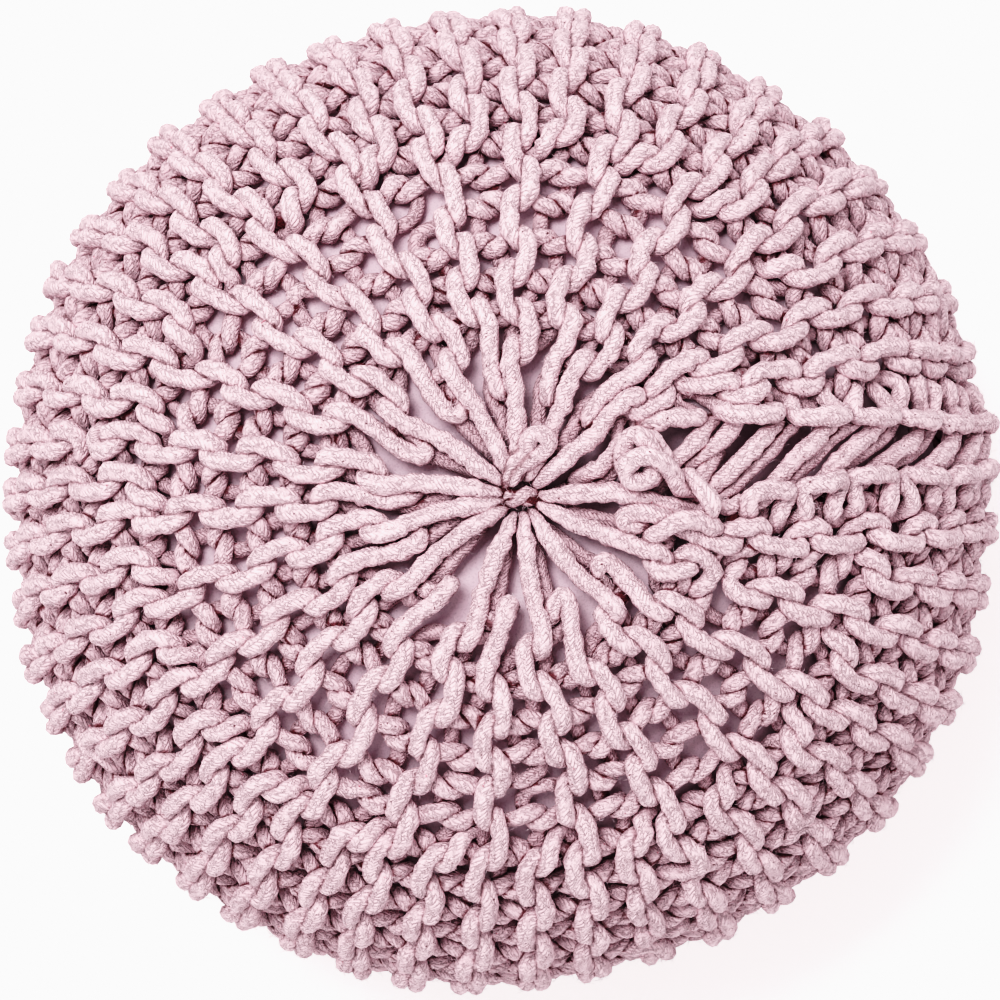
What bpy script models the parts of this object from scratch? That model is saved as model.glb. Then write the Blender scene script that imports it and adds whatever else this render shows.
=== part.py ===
"""A knitted pouf: a cover of thick soft cord, drawn together over a filled round casing.

Units are metres and +Z is up. The origin is on the floor, under the middle of the pouf.
The cover is knitted sideways, so its ridges run from the gather on top, over the crown and
down the side, and a cord through the end loops draws the top together.
"""

from collections import namedtuple
from math import acos, asin, cos, exp, pi, radians, sin

import bmesh
import bpy

# Driving dimensions.
RADIUS = 0.250  # middle of the pouf to the mean of its ridges, at the widest level
HEIGHT = 0.350  # floor to crown
WIDEST_LEVEL = 0.168  # height of the widest level above the floor
BELLY_DEPTH = 0.186  # how far the belly would hang under that level if no floor held it up
CROWN_POWER = 2.15  # roundness of the profile above the widest level; 2 is an ellipse
BELLY_POWER = 2.40  # the same below it; more than 2 is fuller

CORD_DIAMETER = 0.0085
COVER_THICKNESS = 0.0189  # two cords deep, with the looseness of hand knitting
GAP = 0.0003  # between neighbouring pieces

# The gather on top.
GATHER_PLACE = (0.0100, 0.0015)  # the gather lies a little off the middle
GATHER_RADIUS = 0.0080  # middle of the drawn loop to the middle of its cord
DIMPLE_DEPTH = 0.0060  # how far the gather pulls the crown down
DIMPLE_RADIUS = 0.0400

# The cover's ridges: each repeat of the knitting has four, which begin at different
# distances from the gather. The start is an angle from the top of the crown.
Ridge = namedtuple("Ridge", "name start_degrees")
RIDGE_REPEAT = (
    Ridge("long", 4.0),
    Ridge("short", 44.0),
    Ridge("medium", 13.0),
    Ridge("short", 44.0),
)
REPEATS = 13
RIDGE_HEIGHT = 0.0060  # valley to crest
RIDGE_FADE_DEGREES = 7.0  # a ridge grows to full height over this angle

# The outline seen from above is a little uneven. Each wave adds to the radius.
Wave = namedtuple("Wave", "count height crest_degrees")
OUTLINE_WAVES = (
    Wave(2, 0.0013, 15.0),
    Wave(3, 0.0007, -24.0),
    Wave(4, 0.0020, -38.0),
    Wave(6, 0.0014, 27.0),
)

# Fineness of the faceted surfaces.
COLUMNS_PER_RIDGE = 2  # one crest and one valley
OUTER_RINGS = 19
INNER_RINGS = 10  # of the cover's inside and of the casing, which face each other
GATHER_SEGMENTS = 28
GATHER_SIDES = 10

Finish = namedtuple("Finish", "name colour roughness metallic")
CORD_FINISH = Finish("cotton_cord", (0.80, 0.58, 0.64), 0.90, 0.0)
CASING_FINISH = Finish("casing_cloth", (0.46, 0.26, 0.31), 0.85, 0.0)
DRAWSTRING_FINISH = Finish("drawstring_cord", (0.76, 0.54, 0.60), 0.90, 0.0)


def remove_everything():
    for thing in list(bpy.data.objects):
        bpy.data.objects.remove(thing)


def eased(share):
    """0 up to 1, with a soft start and a soft end."""
    share = min(max(share, 0.0), 1.0)
    return share * share * (3.0 - 2.0 * share)


# ---- The shape of the pouf -------------------------------------------------------------


def opening_radius():
    """The hole in the cover's crown that the drawn loop sits in."""
    return GATHER_RADIUS + CORD_DIAMETER / 2.0 + GAP


def profile(angle, inset):
    """Radius and height at an angle from the top, on the skin that lies inset inside."""
    reach = RADIUS - inset
    if angle <= pi / 2:
        power, rise = 2.0 / CROWN_POWER, HEIGHT - WIDEST_LEVEL - inset
    else:
        power, rise = 2.0 / BELLY_POWER, inset - BELLY_DEPTH
    radius = reach * sin(angle) ** power
    height = WIDEST_LEVEL + rise * abs(cos(angle)) ** power
    height -= DIMPLE_DEPTH * exp(-((radius / DIMPLE_RADIUS) ** 2)) * (angle < pi / 2)
    return radius, height


def angle_at_radius(radius, inset):
    """The angle from the top at which the crown has this radius."""
    return asin((radius / (RADIUS - inset)) ** (CROWN_POWER / 2.0))


def angle_at_floor(inset):
    """The angle from the top at which the belly meets the flat base of this skin."""
    share = (WIDEST_LEVEL - inset) / (BELLY_DEPTH - inset)
    return pi - acos(share ** (BELLY_POWER / 2.0))


def outline_factor(turn, angle):
    """How much wider the outline is at this turn about the axis, from its waves."""
    swell = sum(w.height * cos(w.count * (turn - radians(w.crest_degrees))) for w in OUTLINE_WAVES)
    return 1.0 + swell / RADIUS * sin(angle) ** 2


def ridge_rise(column, angle, base_angle):
    """Height of the ridged skin over the mean skin, in one column of its grid."""
    ridge = RIDGE_REPEAT[column // COLUMNS_PER_RIDGE % len(RIDGE_REPEAT)]
    fade = radians(RIDGE_FADE_DEGREES)
    grown = eased((angle - radians(ridge.start_degrees)) / fade)
    if column % COLUMNS_PER_RIDGE:
        grown = 0.0
    return RIDGE_HEIGHT * (grown - 0.5) * eased((base_angle - angle) / fade)


def ring_middle(radius, inset):
    """The middle of a ring of this radius on the crown: rings shift towards the gather."""
    share = 1.0 - radius / (RADIUS - inset)
    return GATHER_PLACE[0] * share, GATHER_PLACE[1] * share


def ring_angles(inset, count):
    """Angles of the rings of a skin, evenly spaced from the opening down to the base."""
    first, last = angle_at_radius(opening_radius(), inset), angle_at_floor(inset)
    return [first + (last - first) * i / (count - 1) for i in range(count)]


def skin_ring(angle, inset, base_angle):
    """The points of one ring around a skin. A skin with a base angle has ridges above it."""
    radius, height = profile(angle, inset)
    middle_x, middle_y = ring_middle(radius, inset) if angle < pi / 2 else (0.0, 0.0)
    columns = COLUMNS_PER_RIDGE * len(RIDGE_REPEAT) * REPEATS
    points = []
    for column in range(columns):
        turn = 2.0 * pi * column / columns
        rise = ridge_rise(column, angle, base_angle) if base_angle else 0.0
        reach = (radius + rise * sin(angle)) * outline_factor(turn, angle)
        x, y = middle_x + reach * cos(turn), middle_y + reach * sin(turn)
        points.append((x, y, height + rise * cos(angle)))
    return points


def skin_rings(angles, inset, ridged=False):
    return [skin_ring(angle, inset, angles[-1] if ridged else None) for angle in angles]


# ---- Mesh helpers ----------------------------------------------------------------------


def add_rings(mesh, rings):
    """Adds rings of points, joins each to the next, and returns the rows of vertices."""
    rows = [[mesh.verts.new(point) for point in ring] for ring in rings]
    for upper, lower in zip(rows, rows[1:]):
        join_rows(mesh, upper, lower)
    return rows


def join_rows(mesh, upper, lower):
    count = len(upper)
    for i in range(count):
        j = (i + 1) % count
        mesh.faces.new((upper[i], lower[i], lower[j], upper[j]))


def material(finish):
    made = bpy.data.materials.new(finish.name)
    made.use_nodes = True
    shader = made.node_tree.nodes["Principled BSDF"]
    shader.inputs["Base Color"].default_value = (*finish.colour, 1.0)
    shader.inputs["Roughness"].default_value = finish.roughness
    shader.inputs["Metallic"].default_value = finish.metallic
    return made


def finished_object(name, mesh, finish, location=(0.0, 0.0, 0.0)):
    """Turns a bmesh into a smooth shaded object with its faces pointing out."""
    bmesh.ops.recalc_face_normals(mesh, faces=mesh.faces)
    data = bpy.data.meshes.new(name)
    mesh.to_mesh(data)
    mesh.free()
    data.shade_smooth()
    data.materials.append(material(finish))
    made = bpy.data.objects.new(name, data)
    made.location = location
    bpy.context.scene.collection.objects.link(made)
    return made


# ---- The pieces ------------------------------------------------------------------------


def make_knit_cover():
    """The cover: a thick shell, ridged outside, open at the gather and flat underneath."""
    mesh = bmesh.new()
    outer = add_rings(mesh, skin_rings(ring_angles(0.0, OUTER_RINGS), 0.0, ridged=True))
    mesh.faces.new(outer[-1])
    inner_angles = ring_angles(COVER_THICKNESS, INNER_RINGS)
    inner = add_rings(mesh, skin_rings(inner_angles, COVER_THICKNESS))
    mesh.faces.new(inner[-1])
    join_rows(mesh, outer[0], inner[0])
    return finished_object("knit_cover", mesh, CORD_FINISH)


def make_inner_casing():
    """The filled casing: one solid a gap inside the cover, ring for ring."""
    mesh = bmesh.new()
    inner_angles = ring_angles(COVER_THICKNESS, INNER_RINGS)
    rows = add_rings(mesh, skin_rings(inner_angles, COVER_THICKNESS + GAP))
    mesh.faces.new(rows[0])
    mesh.faces.new(rows[-1])
    return finished_object("inner_casing", mesh, CASING_FINISH)


def make_top_gather_cord():
    """The drawn loop of cord that holds the cover's end loops together."""
    rim_radius = opening_radius()
    rim_level = profile(angle_at_radius(rim_radius, 0.0), 0.0)[1]
    place = (*ring_middle(rim_radius, 0.0), rim_level - CORD_DIAMETER)
    mesh = bmesh.new()
    rows = []
    for i in range(GATHER_SEGMENTS):
        turn = 2.0 * pi * i / GATHER_SEGMENTS
        row = []
        for j in range(GATHER_SIDES):
            side = 2.0 * pi * j / GATHER_SIDES
            reach = GATHER_RADIUS + CORD_DIAMETER / 2.0 * cos(side)
            lift = CORD_DIAMETER / 2.0 * sin(side)
            row.append(mesh.verts.new((reach * cos(turn), reach * sin(turn), lift)))
        rows.append(row)
    for row, following in zip(rows, rows[1:] + rows[:1]):
        join_rows(mesh, row, following)
    return finished_object("top_gather_cord", mesh, DRAWSTRING_FINISH, place)


def main():
    remove_everything()
    make_knit_cover()
    make_inner_casing()
    make_top_gather_cord()


main()
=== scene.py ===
"""A knitted pouf seen from straight above, built over its CAD frame.

The cover is modelled as what it is: cord, knitted sideways in garter stitch. Each ridge of
the knitting is one loop of cord that runs up one row of stitches and down the next. The
loops are laid out on the pouf's skin, relaxed so that the cord is taut and its strands lie
against each other, and then given their thickness.

Units are metres, +Z is up, and the origin is on the floor under the middle of the pouf.
A place on the knitting has three coordinates:
    run   the distance from the gather, along the skin
    turn  the angle about the axis, in radians
    lift  the distance out from the middle of the knitting's thickness
"""

from collections import namedtuple
from functools import partialmethod
from math import acos, exp, pi, radians, sin, tau

import bpy
import numpy as np
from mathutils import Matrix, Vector

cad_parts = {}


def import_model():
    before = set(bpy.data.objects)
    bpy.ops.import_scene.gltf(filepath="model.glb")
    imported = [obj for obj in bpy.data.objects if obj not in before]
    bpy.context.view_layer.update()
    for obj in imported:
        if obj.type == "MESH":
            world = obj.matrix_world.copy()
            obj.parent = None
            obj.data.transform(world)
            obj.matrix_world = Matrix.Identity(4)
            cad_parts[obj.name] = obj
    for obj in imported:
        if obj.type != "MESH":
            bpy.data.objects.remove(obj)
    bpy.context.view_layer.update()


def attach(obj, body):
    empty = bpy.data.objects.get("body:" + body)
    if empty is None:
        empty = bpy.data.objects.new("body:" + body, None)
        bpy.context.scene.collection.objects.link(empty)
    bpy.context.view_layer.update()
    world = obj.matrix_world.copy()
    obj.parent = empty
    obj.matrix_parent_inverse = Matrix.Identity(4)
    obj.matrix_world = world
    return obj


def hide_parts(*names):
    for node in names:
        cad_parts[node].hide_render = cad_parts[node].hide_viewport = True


def table(columns, *rows):
    """Rows of numbers, with a name for each column."""
    kind = namedtuple("Row", columns)
    return tuple(kind(*row) for row in rows)


# ---- The pouf's shape, as part.py builds it --------------------------------------------

RADIUS = 0.250
HEIGHT = 0.350
WIDEST_LEVEL = 0.168
BELLY_DEPTH = 0.186
CROWN_POWER = 2.15
BELLY_POWER = 2.40
COVER_THICKNESS = 0.0189
GAP = 0.0003
GATHER_PLACE = np.array((0.0100, 0.0015))
DIMPLE_DEPTH = 0.0060
DIMPLE_RADIUS = 0.0400

OUTLINE_WAVES = table(
    "count height crest_degrees",
    (2, 0.0013, 15.0),
    (3, 0.0007, -24.0),
    (4, 0.0020, -38.0),
    (6, 0.0014, 27.0),
)

NEARLY_ZERO, TINY = 1e-6, 1e-9  # these keep divisions from failing
JUST_INSIDE = 1.001  # this much less than a table's length is still inside its last cell

# ---- The knitting ----------------------------------------------------------------------

CORD_DIAMETER = 0.0085
MIDDLE_INSET = 0.0080  # from the outside to the middle of the knitting's thickness

# Where each ridge runs, as a turn in degrees, on the crown and on the side. There are
# twelve repeats, in order with the clock from the lower edge of the seam. Each has a long
# ridge, which starts as a spoke at the gather, and a medium one, and a short ridge
# follows each of the two.
REPEATS = table(
    "medium_crown medium_side long_crown long_side spoke",
    (354.0, 356.5, 341.0, 342.0, 335.0),
    (327.0, 328.5, 313.0, 313.0, 305.0),
    (297.0, 297.0, 282.0, 281.0, 277.0),
    (267.5, 266.5, 251.0, 252.0, 248.0),
    (236.5, 238.5, 223.0, 224.5, 212.0),
    (210.0, 212.0, 196.0, 199.5, 190.0),
    (182.0, 186.0, 171.0, 174.0, 170.0),
    (158.0, 160.5, 143.5, 147.0, 143.0),
    (131.0, 133.5, 115.0, 119.0, 115.0),
    (101.5, 104.0, 87.0, 89.0, 92.0),
    (74.0, 73.0, 59.0, 57.0, 65.0),
    (46.0, 40.5, 31.5, 24.0, 40.0),
)
Edge = namedtuple("Edge", "crown side spoke")
LOWER_EDGE = Edge(362.5, 363.0, 363.0)  # the cast-on edge, a chain of bars
UPPER_EDGE = Edge(14.0, 8.8, 32.0)  # the cast-off edge, a chain of bars
SPOKE_RUN, CROWN_RUN, SIDE_RUN = 0.020, 0.150, 0.290  # where those turns hold

FIRST_STITCH = 0.0760  # run of the first stitch of a long or medium ridge
STITCH_PITCH = 0.0372
STITCH_COUNT = 14
FIRST_OF_KIND = {"edge": 0, "medium": 0, "long": 0, "short": 3, "last short": 1}

# How stitches hook into each other: how far two rows overlap in front and at the back,
# how much wider a loop's head is than its neck, and how far it stands out or in.
FRONT_OVERLAP = 0.0105
BACK_OVERLAP = 0.0112
USUAL_ROW = 0.0160  # where the rows are wider than this, they overlap more
WIDE_OVERLAP = 0.45
WIDENING = 0.0064
DEPTH = 0.0081

# The seam draws the stitches beside it together and lines up the bars of its two edges.
Draw = namedtuple("Draw", "edge_degrees shift_at_start start slope")
UPPER_DRAW = Draw(12.0, 0.0068, 0.1132, -0.145)
LOWER_DRAW = Draw(3.0, 0.0220, 0.0946, -0.110)
DRAW_FULL_DEGREES = 3.0
DRAW_REACH_DEGREES = 12.0
DRAW_LEAST, DRAW_MOST = -0.018, 0.024
Fade = namedtuple("Fade", "start reach")
DRAW_FADE_TOP = Fade(0.030, 0.040)
DRAW_FADE_BOTTOM = Fade(0.080, 0.150)  # from the far end of the meridian

SEED = 7
LOOSENESS = 0.0006  # how far single stitches stray from the even pattern

# How the knitting as a whole strays: many small waves of different lengths.
UNEVEN_WAVES = 16
UNEVEN_LENGTHS = (0.045, 0.120)
UNEVEN_HEIGHT = 0.0009
UNEVEN_FADE = Fade(0.030, 0.060)  # the hub is even

STEP = 0.0041  # between the points of a cord while it is relaxed
FEWEST_POINTS = 8
ROUNDS = 160
SQUEEZED = 0.83  # how near relaxing lets the middles of strands come, in diameters
HELD_RADIUS = 0.026  # cord nearer to the gather than this is held tight


def soft(share):
    """0 up to 1, with a soft start and a soft end."""
    share = np.clip(share, 0.0, 1.0)
    return share * share * (3.0 - 2.0 * share)


def faded(distance, fade):
    """0 up to the fade's start, and 1 beyond its reach."""
    return soft((distance - fade.start) / fade.reach)


def unit(vectors):
    return vectors / np.linalg.norm(vectors, axis=1)[:, None]


def lengths(line):
    """How far along a line each of its points lies."""
    return np.r_[0.0, np.cumsum(np.linalg.norm(np.diff(line, axis=0), axis=1))]


def smoothed(rows, width):
    """Rows of numbers, each averaged over a window along it."""
    window = np.hanning(2 * width + 3)[1:-1]
    window /= window.sum()
    wide = np.pad(rows, ((0, 0), (width, width)), mode="edge")
    return np.array([np.convolve(row, window, "valid") for row in wide])


# ---- The skin --------------------------------------------------------------------------


def profile(angle, inset):
    """Radius and height at an angle from the top, on the skin that lies inset inside."""
    if angle <= pi / 2:
        power, rise = 2.0 / CROWN_POWER, HEIGHT - WIDEST_LEVEL - inset
    else:
        power, rise = 2.0 / BELLY_POWER, inset - BELLY_DEPTH
    radius = (RADIUS - inset) * sin(angle) ** power
    height = WIDEST_LEVEL + rise * abs(np.cos(angle)) ** power
    height -= DIMPLE_DEPTH * exp(-((radius / DIMPLE_RADIUS) ** 2)) * (angle < pi / 2)
    return radius, height


def angle_at_floor(inset):
    share = (WIDEST_LEVEL - inset) / (BELLY_DEPTH - inset)
    return pi - acos(share ** (BELLY_POWER / 2.0))


class Skin:
    """A meridian of the skin that lies inset inside, from the top to the middle below."""

    SIDE_POINTS, BASE_POINTS = 600, 100
    SPACING = 0.001
    CORNER = 15  # points over which the corner at the floor is rounded

    def __init__(self, inset):
        angles = np.linspace(NEARLY_ZERO, angle_at_floor(inset), self.SIDE_POINTS)
        line = np.array([profile(angle, inset) for angle in angles])
        base = np.linspace(line[-1, 0], 0.0, self.BASE_POINTS)[1:]
        line = np.vstack([line, np.column_stack([base, np.full(len(base), line[-1, 1])])])
        for _ in range(2):
            line = self.evenly_spaced(line)
            mirror = np.array((-1.0, 1.0))
            count = self.CORNER
            before, beyond = line[count:0:-1] * mirror, line[-2 : -count - 2 : -1] * mirror
            whole = np.vstack([before, line, beyond])
            window = np.hanning(count + 2)[1:-1]
            window /= window.sum()
            line = np.column_stack([np.convolve(part, window, "same") for part in whole.T])
            line = line[count:-count]
        self.line = line
        self.run = lengths(line)
        self.total = self.run[-1]
        slope = unit(np.gradient(line, self.run, axis=0))
        self.outward = np.column_stack([-slope[:, 1], slope[:, 0]])

    def evenly_spaced(self, line):
        run = lengths(line)
        at = np.arange(0.0, run[-1], self.SPACING)
        return np.column_stack([np.interp(at, run, part) for part in line.T])

    def radius_at(self, run):
        return np.interp(run, self.run, self.line[:, 0])

    def place(self, run, turn, lift):
        """Points in space, on a pouf that is still perfectly round."""
        radius = self.radius_at(run) + lift * np.interp(run, self.run, self.outward[:, 0])
        height = np.interp(run, self.run, self.line[:, 1])
        height = height + lift * np.interp(run, self.run, self.outward[:, 1])
        return np.column_stack([radius * np.cos(turn), radius * np.sin(turn), height])


class SkinField:
    """Lift above a skin and the outward direction, at any point near it."""

    CELL = 0.003
    WIDEST = 0.300
    LOWEST, HIGHEST = -0.020, 0.380
    AT_ONCE = 2000  # points compared with the whole meridian at once, to save memory

    def __init__(self, skin):
        radii = np.arange(0.0, self.WIDEST, self.CELL)
        heights = np.arange(self.LOWEST, self.HIGHEST, self.CELL)
        grid = np.stack(np.meshgrid(radii, heights, indexing="ij"), -1)
        flat = grid.reshape(-1, 2)
        nearest = np.zeros(len(flat), int)
        for at in range(0, len(flat), self.AT_ONCE):
            away = flat[at : at + self.AT_ONCE, None] - skin.line[None]
            nearest[at : at + self.AT_ONCE] = (away**2).sum(-1).argmin(1)
        outward = skin.outward[nearest]
        lift = ((flat - skin.line[nearest]) * outward).sum(1)
        self.low = np.array((radii[0], heights[0]))
        self.size = np.array(grid.shape[:2])
        self.grid = np.column_stack([lift, outward]).reshape(*self.size, 3)

    def at(self, points):
        """Lift and outward direction at points in space."""
        radius = np.hypot(points[:, 0], points[:, 1])
        spot = (np.column_stack([radius, points[:, 2]]) - self.low) / self.CELL
        spot = np.clip(spot, 0.0, self.size - JUST_INSIDE)
        i, j = spot.astype(int).T
        x, y = (spot - np.column_stack([i, j])).T[:, :, None]
        grid = self.grid
        near = grid[i, j] * (1 - x) + grid[i + 1, j] * x
        far = grid[i, j + 1] * (1 - x) + grid[i + 1, j + 1] * x
        found = near * (1 - y) + far * y
        across = points[:, :2] / np.maximum(radius, NEARLY_ZERO)[:, None]
        return found[:, 0], np.column_stack([across * found[:, 1:2], found[:, 2]])


SKIN = Skin(MIDDLE_INSET)
FIELD = SkinField(SKIN)

# ---- Where the ridges run --------------------------------------------------------------


class Layout:
    """The front lines of all ridges and of the seam's two edges, with the clock."""

    LINE_POINTS = 700
    SMOOTHING = 30  # points over which the bends of a line are rounded
    HOOKED_BEYOND = {True: 0.25, False: 0.75}  # stitches past a short ridge's end, if rising
    HOOK_FADE = 0.50

    def __init__(self):
        self.grid = np.linspace(0.0, SKIN.total, self.LINE_POINTS)
        self.kinds = ["edge"]
        lines = [self.line(*LOWER_EDGE)]
        spoke_before = LOWER_EDGE.spoke
        for repeat in REPEATS:
            medium_spoke = (spoke_before + repeat.spoke) / 2.0
            lines.append(self.line(repeat.medium_crown, repeat.medium_side, medium_spoke))
            lines.append(None)
            lines.append(self.line(repeat.long_crown, repeat.long_side, repeat.spoke))
            lines.append(None)
            self.kinds += ["medium", "short", "long", "short"]
            spoke_before = repeat.spoke
        lines.append(self.line(*UPPER_EDGE))
        self.kinds[-1] = "last short"
        self.kinds.append("edge")
        for i, line in enumerate(lines):
            if line is None:
                lines[i] = (lines[i - 1] + lines[i + 1]) / 2.0
        self.turns = np.radians(smoothed(np.array(lines), self.SMOOTHING))

    def line(self, crown, side, spoke):
        return np.interp(self.grid, [SPOKE_RUN, CROWN_RUN, SIDE_RUN], [spoke, crown, side])

    def turn(self, i, run):
        return np.interp(run, self.grid, self.turns[i])

    def span(self, i):
        """First and last stitch of a ridge."""
        first = FIRST_OF_KIND[self.kinds[i]]
        return first, STITCH_COUNT - 1 - first

    def presence(self, i, stitch, rising):
        """1 where a neighbouring row hooks into short ridge i, 0 beyond the ridge's ends."""
        first, last = self.span(i)
        reach = np.minimum(stitch - first, last - stitch)
        return soft((reach + self.HOOKED_BEYOND[rising]) / self.HOOK_FADE)

    def neighbour(self, i, way, run, stitch):
        """Turn of the next ridge that is present, before (-1) or after (+1) ridge i."""
        near = self.turn(i + way, run)
        if not self.span(i + way)[0]:
            return near
        far = self.turn(i + 2 * way, run)
        return far + (near - far) * self.presence(i + way, stitch, way < 0)


LAYOUT = Layout()
LOWER, UPPER = 0, len(LAYOUT.kinds) - 1  # the seam's two edges
SEAM_MIDDLE = 8.0  # degrees

# ---- Cord paths ------------------------------------------------------------------------

# The pieces made of cord are numbered, in the order in which their cords are made: the
# knitting in four quarters, the seam, and the cord drawn through the gather.
KNIT_PIECES, SEAM_PIECE, DRAWN_PIECE = 4, 5, 6

# A path of cord, the piece it belongs to, and how it behaves when it is relaxed: how much
# of its length it keeps, how firmly it keeps its place, and how hard it is drawn inwards.
Cord = namedtuple("Cord", "points closed piece kept anchor inward")
Nature = namedtuple("Nature", "kept anchor inward")
KNITTED = Nature(0.89, 0.008, 0.00004)
SEWN = Nature(0.96, 0.060, 0.00001)


def bent(start, start_way, end, end_way, reach, count=24):
    """A smooth link between two ends of cord, each with its direction."""
    t = np.linspace(0.0, 1.0, count + 1)[1:-1, None]
    a, b = start + start_way * reach, end - end_way * reach
    return (1 - t) ** 3 * start + 3 * (1 - t) ** 2 * t * a + 3 * (1 - t) * t**2 * b + t**3 * end


def between(a, b, c, d, t):
    """A smooth line from b, where t is 0, to c, where t is 1, with a and d beyond them."""
    square = (2 * a - 5 * b + 4 * c - d) * t**2
    cube = (3 * b - a - 3 * c + d) * t**3
    return 0.5 * (2 * b + (c - a) * t + square + cube)


def through(points, count=12):
    """A smooth line through points, with count steps between each two."""
    points = np.asarray(points, float)
    ends = np.vstack([2 * points[0] - points[1], points, 2 * points[-1] - points[-2]])
    t = np.linspace(0.0, 1.0, count, endpoint=False)[:, None]
    line = [between(*four, t) for four in zip(ends, ends[1:], ends[2:], ends[3:])]
    return np.vstack([*line, points[-1:]])


def drawn(run, turn):
    """How far the seam shifts stitches along their ridges."""
    degrees = (np.degrees(turn) + 180.0 - SEAM_MIDDLE) % 360.0 - 180.0 + SEAM_MIDDLE
    above = degrees > SEAM_MIDDLE
    shift = 0.0
    for draw, on_this_side in ((UPPER_DRAW, above), (LOWER_DRAW, ~above)):
        amount = draw.shift_at_start + draw.slope * (run - draw.start)
        amount = np.clip(amount, DRAW_LEAST, DRAW_MOST)
        away = np.maximum(np.abs(degrees - draw.edge_degrees) - DRAW_FULL_DEGREES, 0.0)
        shift = shift + amount * np.exp(-((away / DRAW_REACH_DEGREES) ** 2)) * on_this_side
    shift = shift * faded(run, DRAW_FADE_TOP)
    return shift * faded(SKIN.total - run, DRAW_FADE_BOTTOM)


STITCH_POINTS = 40  # points of a stitch before its row is spaced evenly


def stray(count, rng):
    """A slow wobble along a row, so that no two stitches are quite the same."""
    knots = rng.normal(0.0, LOOSENESS, count // STITCH_POINTS * 2 + 4)
    at = np.linspace(0.0, len(knots) - JUST_INSIDE, count)
    return np.interp(at, np.arange(len(knots)), knots)


# How far a row runs on past its end stitches, in stitches: a falling row, a rising row. A
# medium ridge starts on top and turns down, so that its bend shows as a rounded end.
USUAL_LEADS = (0.50, 0.50)
MEDIUM_LEADS = (0.27, 0.10)
LEAST_RADIUS = 0.020  # nearer to the axis than this, rows draw no closer together


def row_of_stitches(i, rising):
    """One row, from its top end to its bottom end. A rising row has its heads in front."""
    first, last = LAYOUT.span(i)
    lead = (MEDIUM_LEADS if LAYOUT.kinds[i] == "medium" else USUAL_LEADS)[rising]
    count = int(round((last - first + 2 * lead) * STITCH_POINTS)) + 1
    stitch = np.linspace(first - lead, last + lead, count)
    front = 1 if rising else -1
    run = FIRST_STITCH + STITCH_PITCH * stitch + WIDENING * np.sin(2 * tau * stitch)
    own = LAYOUT.turn(i, run)
    back = (own + LAYOUT.neighbour(i, -front, run, stitch)) / 2
    low, high = (back, own) if rising else (own, back)
    wave = np.cos(tau * stitch)
    turn = low + (high - low) * (1 + wave) / 2
    radius = np.maximum(SKIN.radius_at(run), LEAST_RADIUS)
    rng = np.random.default_rng(SEED + 2 * i + rising)
    overlap = BACK_OVERLAP + (FRONT_OVERLAP - BACK_OVERLAP) * (1 + front * wave) / 2
    overlap += WIDE_OVERLAP * np.maximum((high - low) * radius * -front - USUAL_ROW, 0.0)
    turn -= (overlap / 2 * wave + stray(count, rng)) / radius
    run += stray(count, rng) + drawn(run, turn)
    lift = front * DEPTH * np.sign(wave) * (3 * wave**2 - 2 * np.abs(wave) ** 3)
    return SKIN.place(run, turn, lift)


# One bar of the seam's edges, from its middle to its border. A run is a share of the
# pitch. Across is 0 at the edge and 1 where the bar's legs hook into the next ridge.
HALF_BAR = table(
    "run_share across lift",
    (0.00, -0.06, 0.0054),
    (0.20, -0.05, 0.0054),
    (0.35, 0.02, 0.0030),
    (0.34, 0.22, -0.0030),
    (0.31, 0.55, -0.0010),
    (0.28, 0.90, 0.0010),
    (0.35, 1.16, -0.0065),
    (0.50, 1.22, -0.0095),
)
BAR_STRAY = 0.0006


def row_of_bars(i, rising):
    """The cast-on or cast-off edge: straight bars, whose legs rise from behind them."""
    way = -1 if rising else 1
    first = 0.0 if rising else 0.5
    half = np.array(HALF_BAR)
    bar = np.vstack([half[:0:-1] * (-1, 1, 1), half[:-1]])
    rng = np.random.default_rng(SEED + i)
    points = []
    for k in range(STITCH_COUNT - (not rising)):
        stitch = first + k + bar[:, 0]
        run = FIRST_STITCH + STITCH_PITCH * stitch
        own = LAYOUT.turn(i, run)
        hook = (own + LAYOUT.neighbour(i, way, run, stitch)) / 2
        aside = rng.normal(0.0, BAR_STRAY, len(bar)) / SKIN.radius_at(run)
        turn = own + (hook - own) * bar[:, 1] + aside
        lift = bar[:, 2] + rng.normal(0.0, BAR_STRAY)
        points.append(SKIN.place(run + drawn(run, turn), turn, lift))
    return through(np.vstack(points))


def uneven(points):
    """Shifts the knitting a little, by different amounts from place to place."""
    rng = np.random.default_rng(SEED)
    ways = unit(rng.normal(size=(UNEVEN_WAVES, 3)))
    shifts = unit(rng.normal(size=(UNEVEN_WAVES, 3)))
    spans = rng.uniform(*UNEVEN_LENGTHS, UNEVEN_WAVES)
    phases = rng.uniform(0.0, tau, UNEVEN_WAVES)
    waves = np.sin(points @ (tau * ways / spans[:, None]).T + phases)
    far = faded(np.hypot(points[:, 0], points[:, 1]), UNEVEN_FADE)
    return points + UNEVEN_HEIGHT * far[:, None] * (waves @ shifts)


# How far the bend at the end of a ridge is drawn out.
BEND_REACH = {"edge": 0.010, "medium": 0.019, "short": 0.008, "last short": 0.008}


def end_ways(path):
    """Directions of travel at the two ends of a path."""
    start, end = path[1] - path[0], path[-1] - path[-2]
    return start / np.linalg.norm(start), end / np.linalg.norm(end)


def turned_back(rising, falling, reach):
    """The link at the end of a ridge that doesn't reach the gather, a plain bend."""
    start, end = rising[-1], falling[0]
    start_way, end_way = end_ways(rising)[1], end_ways(falling)[0]
    return bent(start, start_way, end, end_way, reach)


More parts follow.
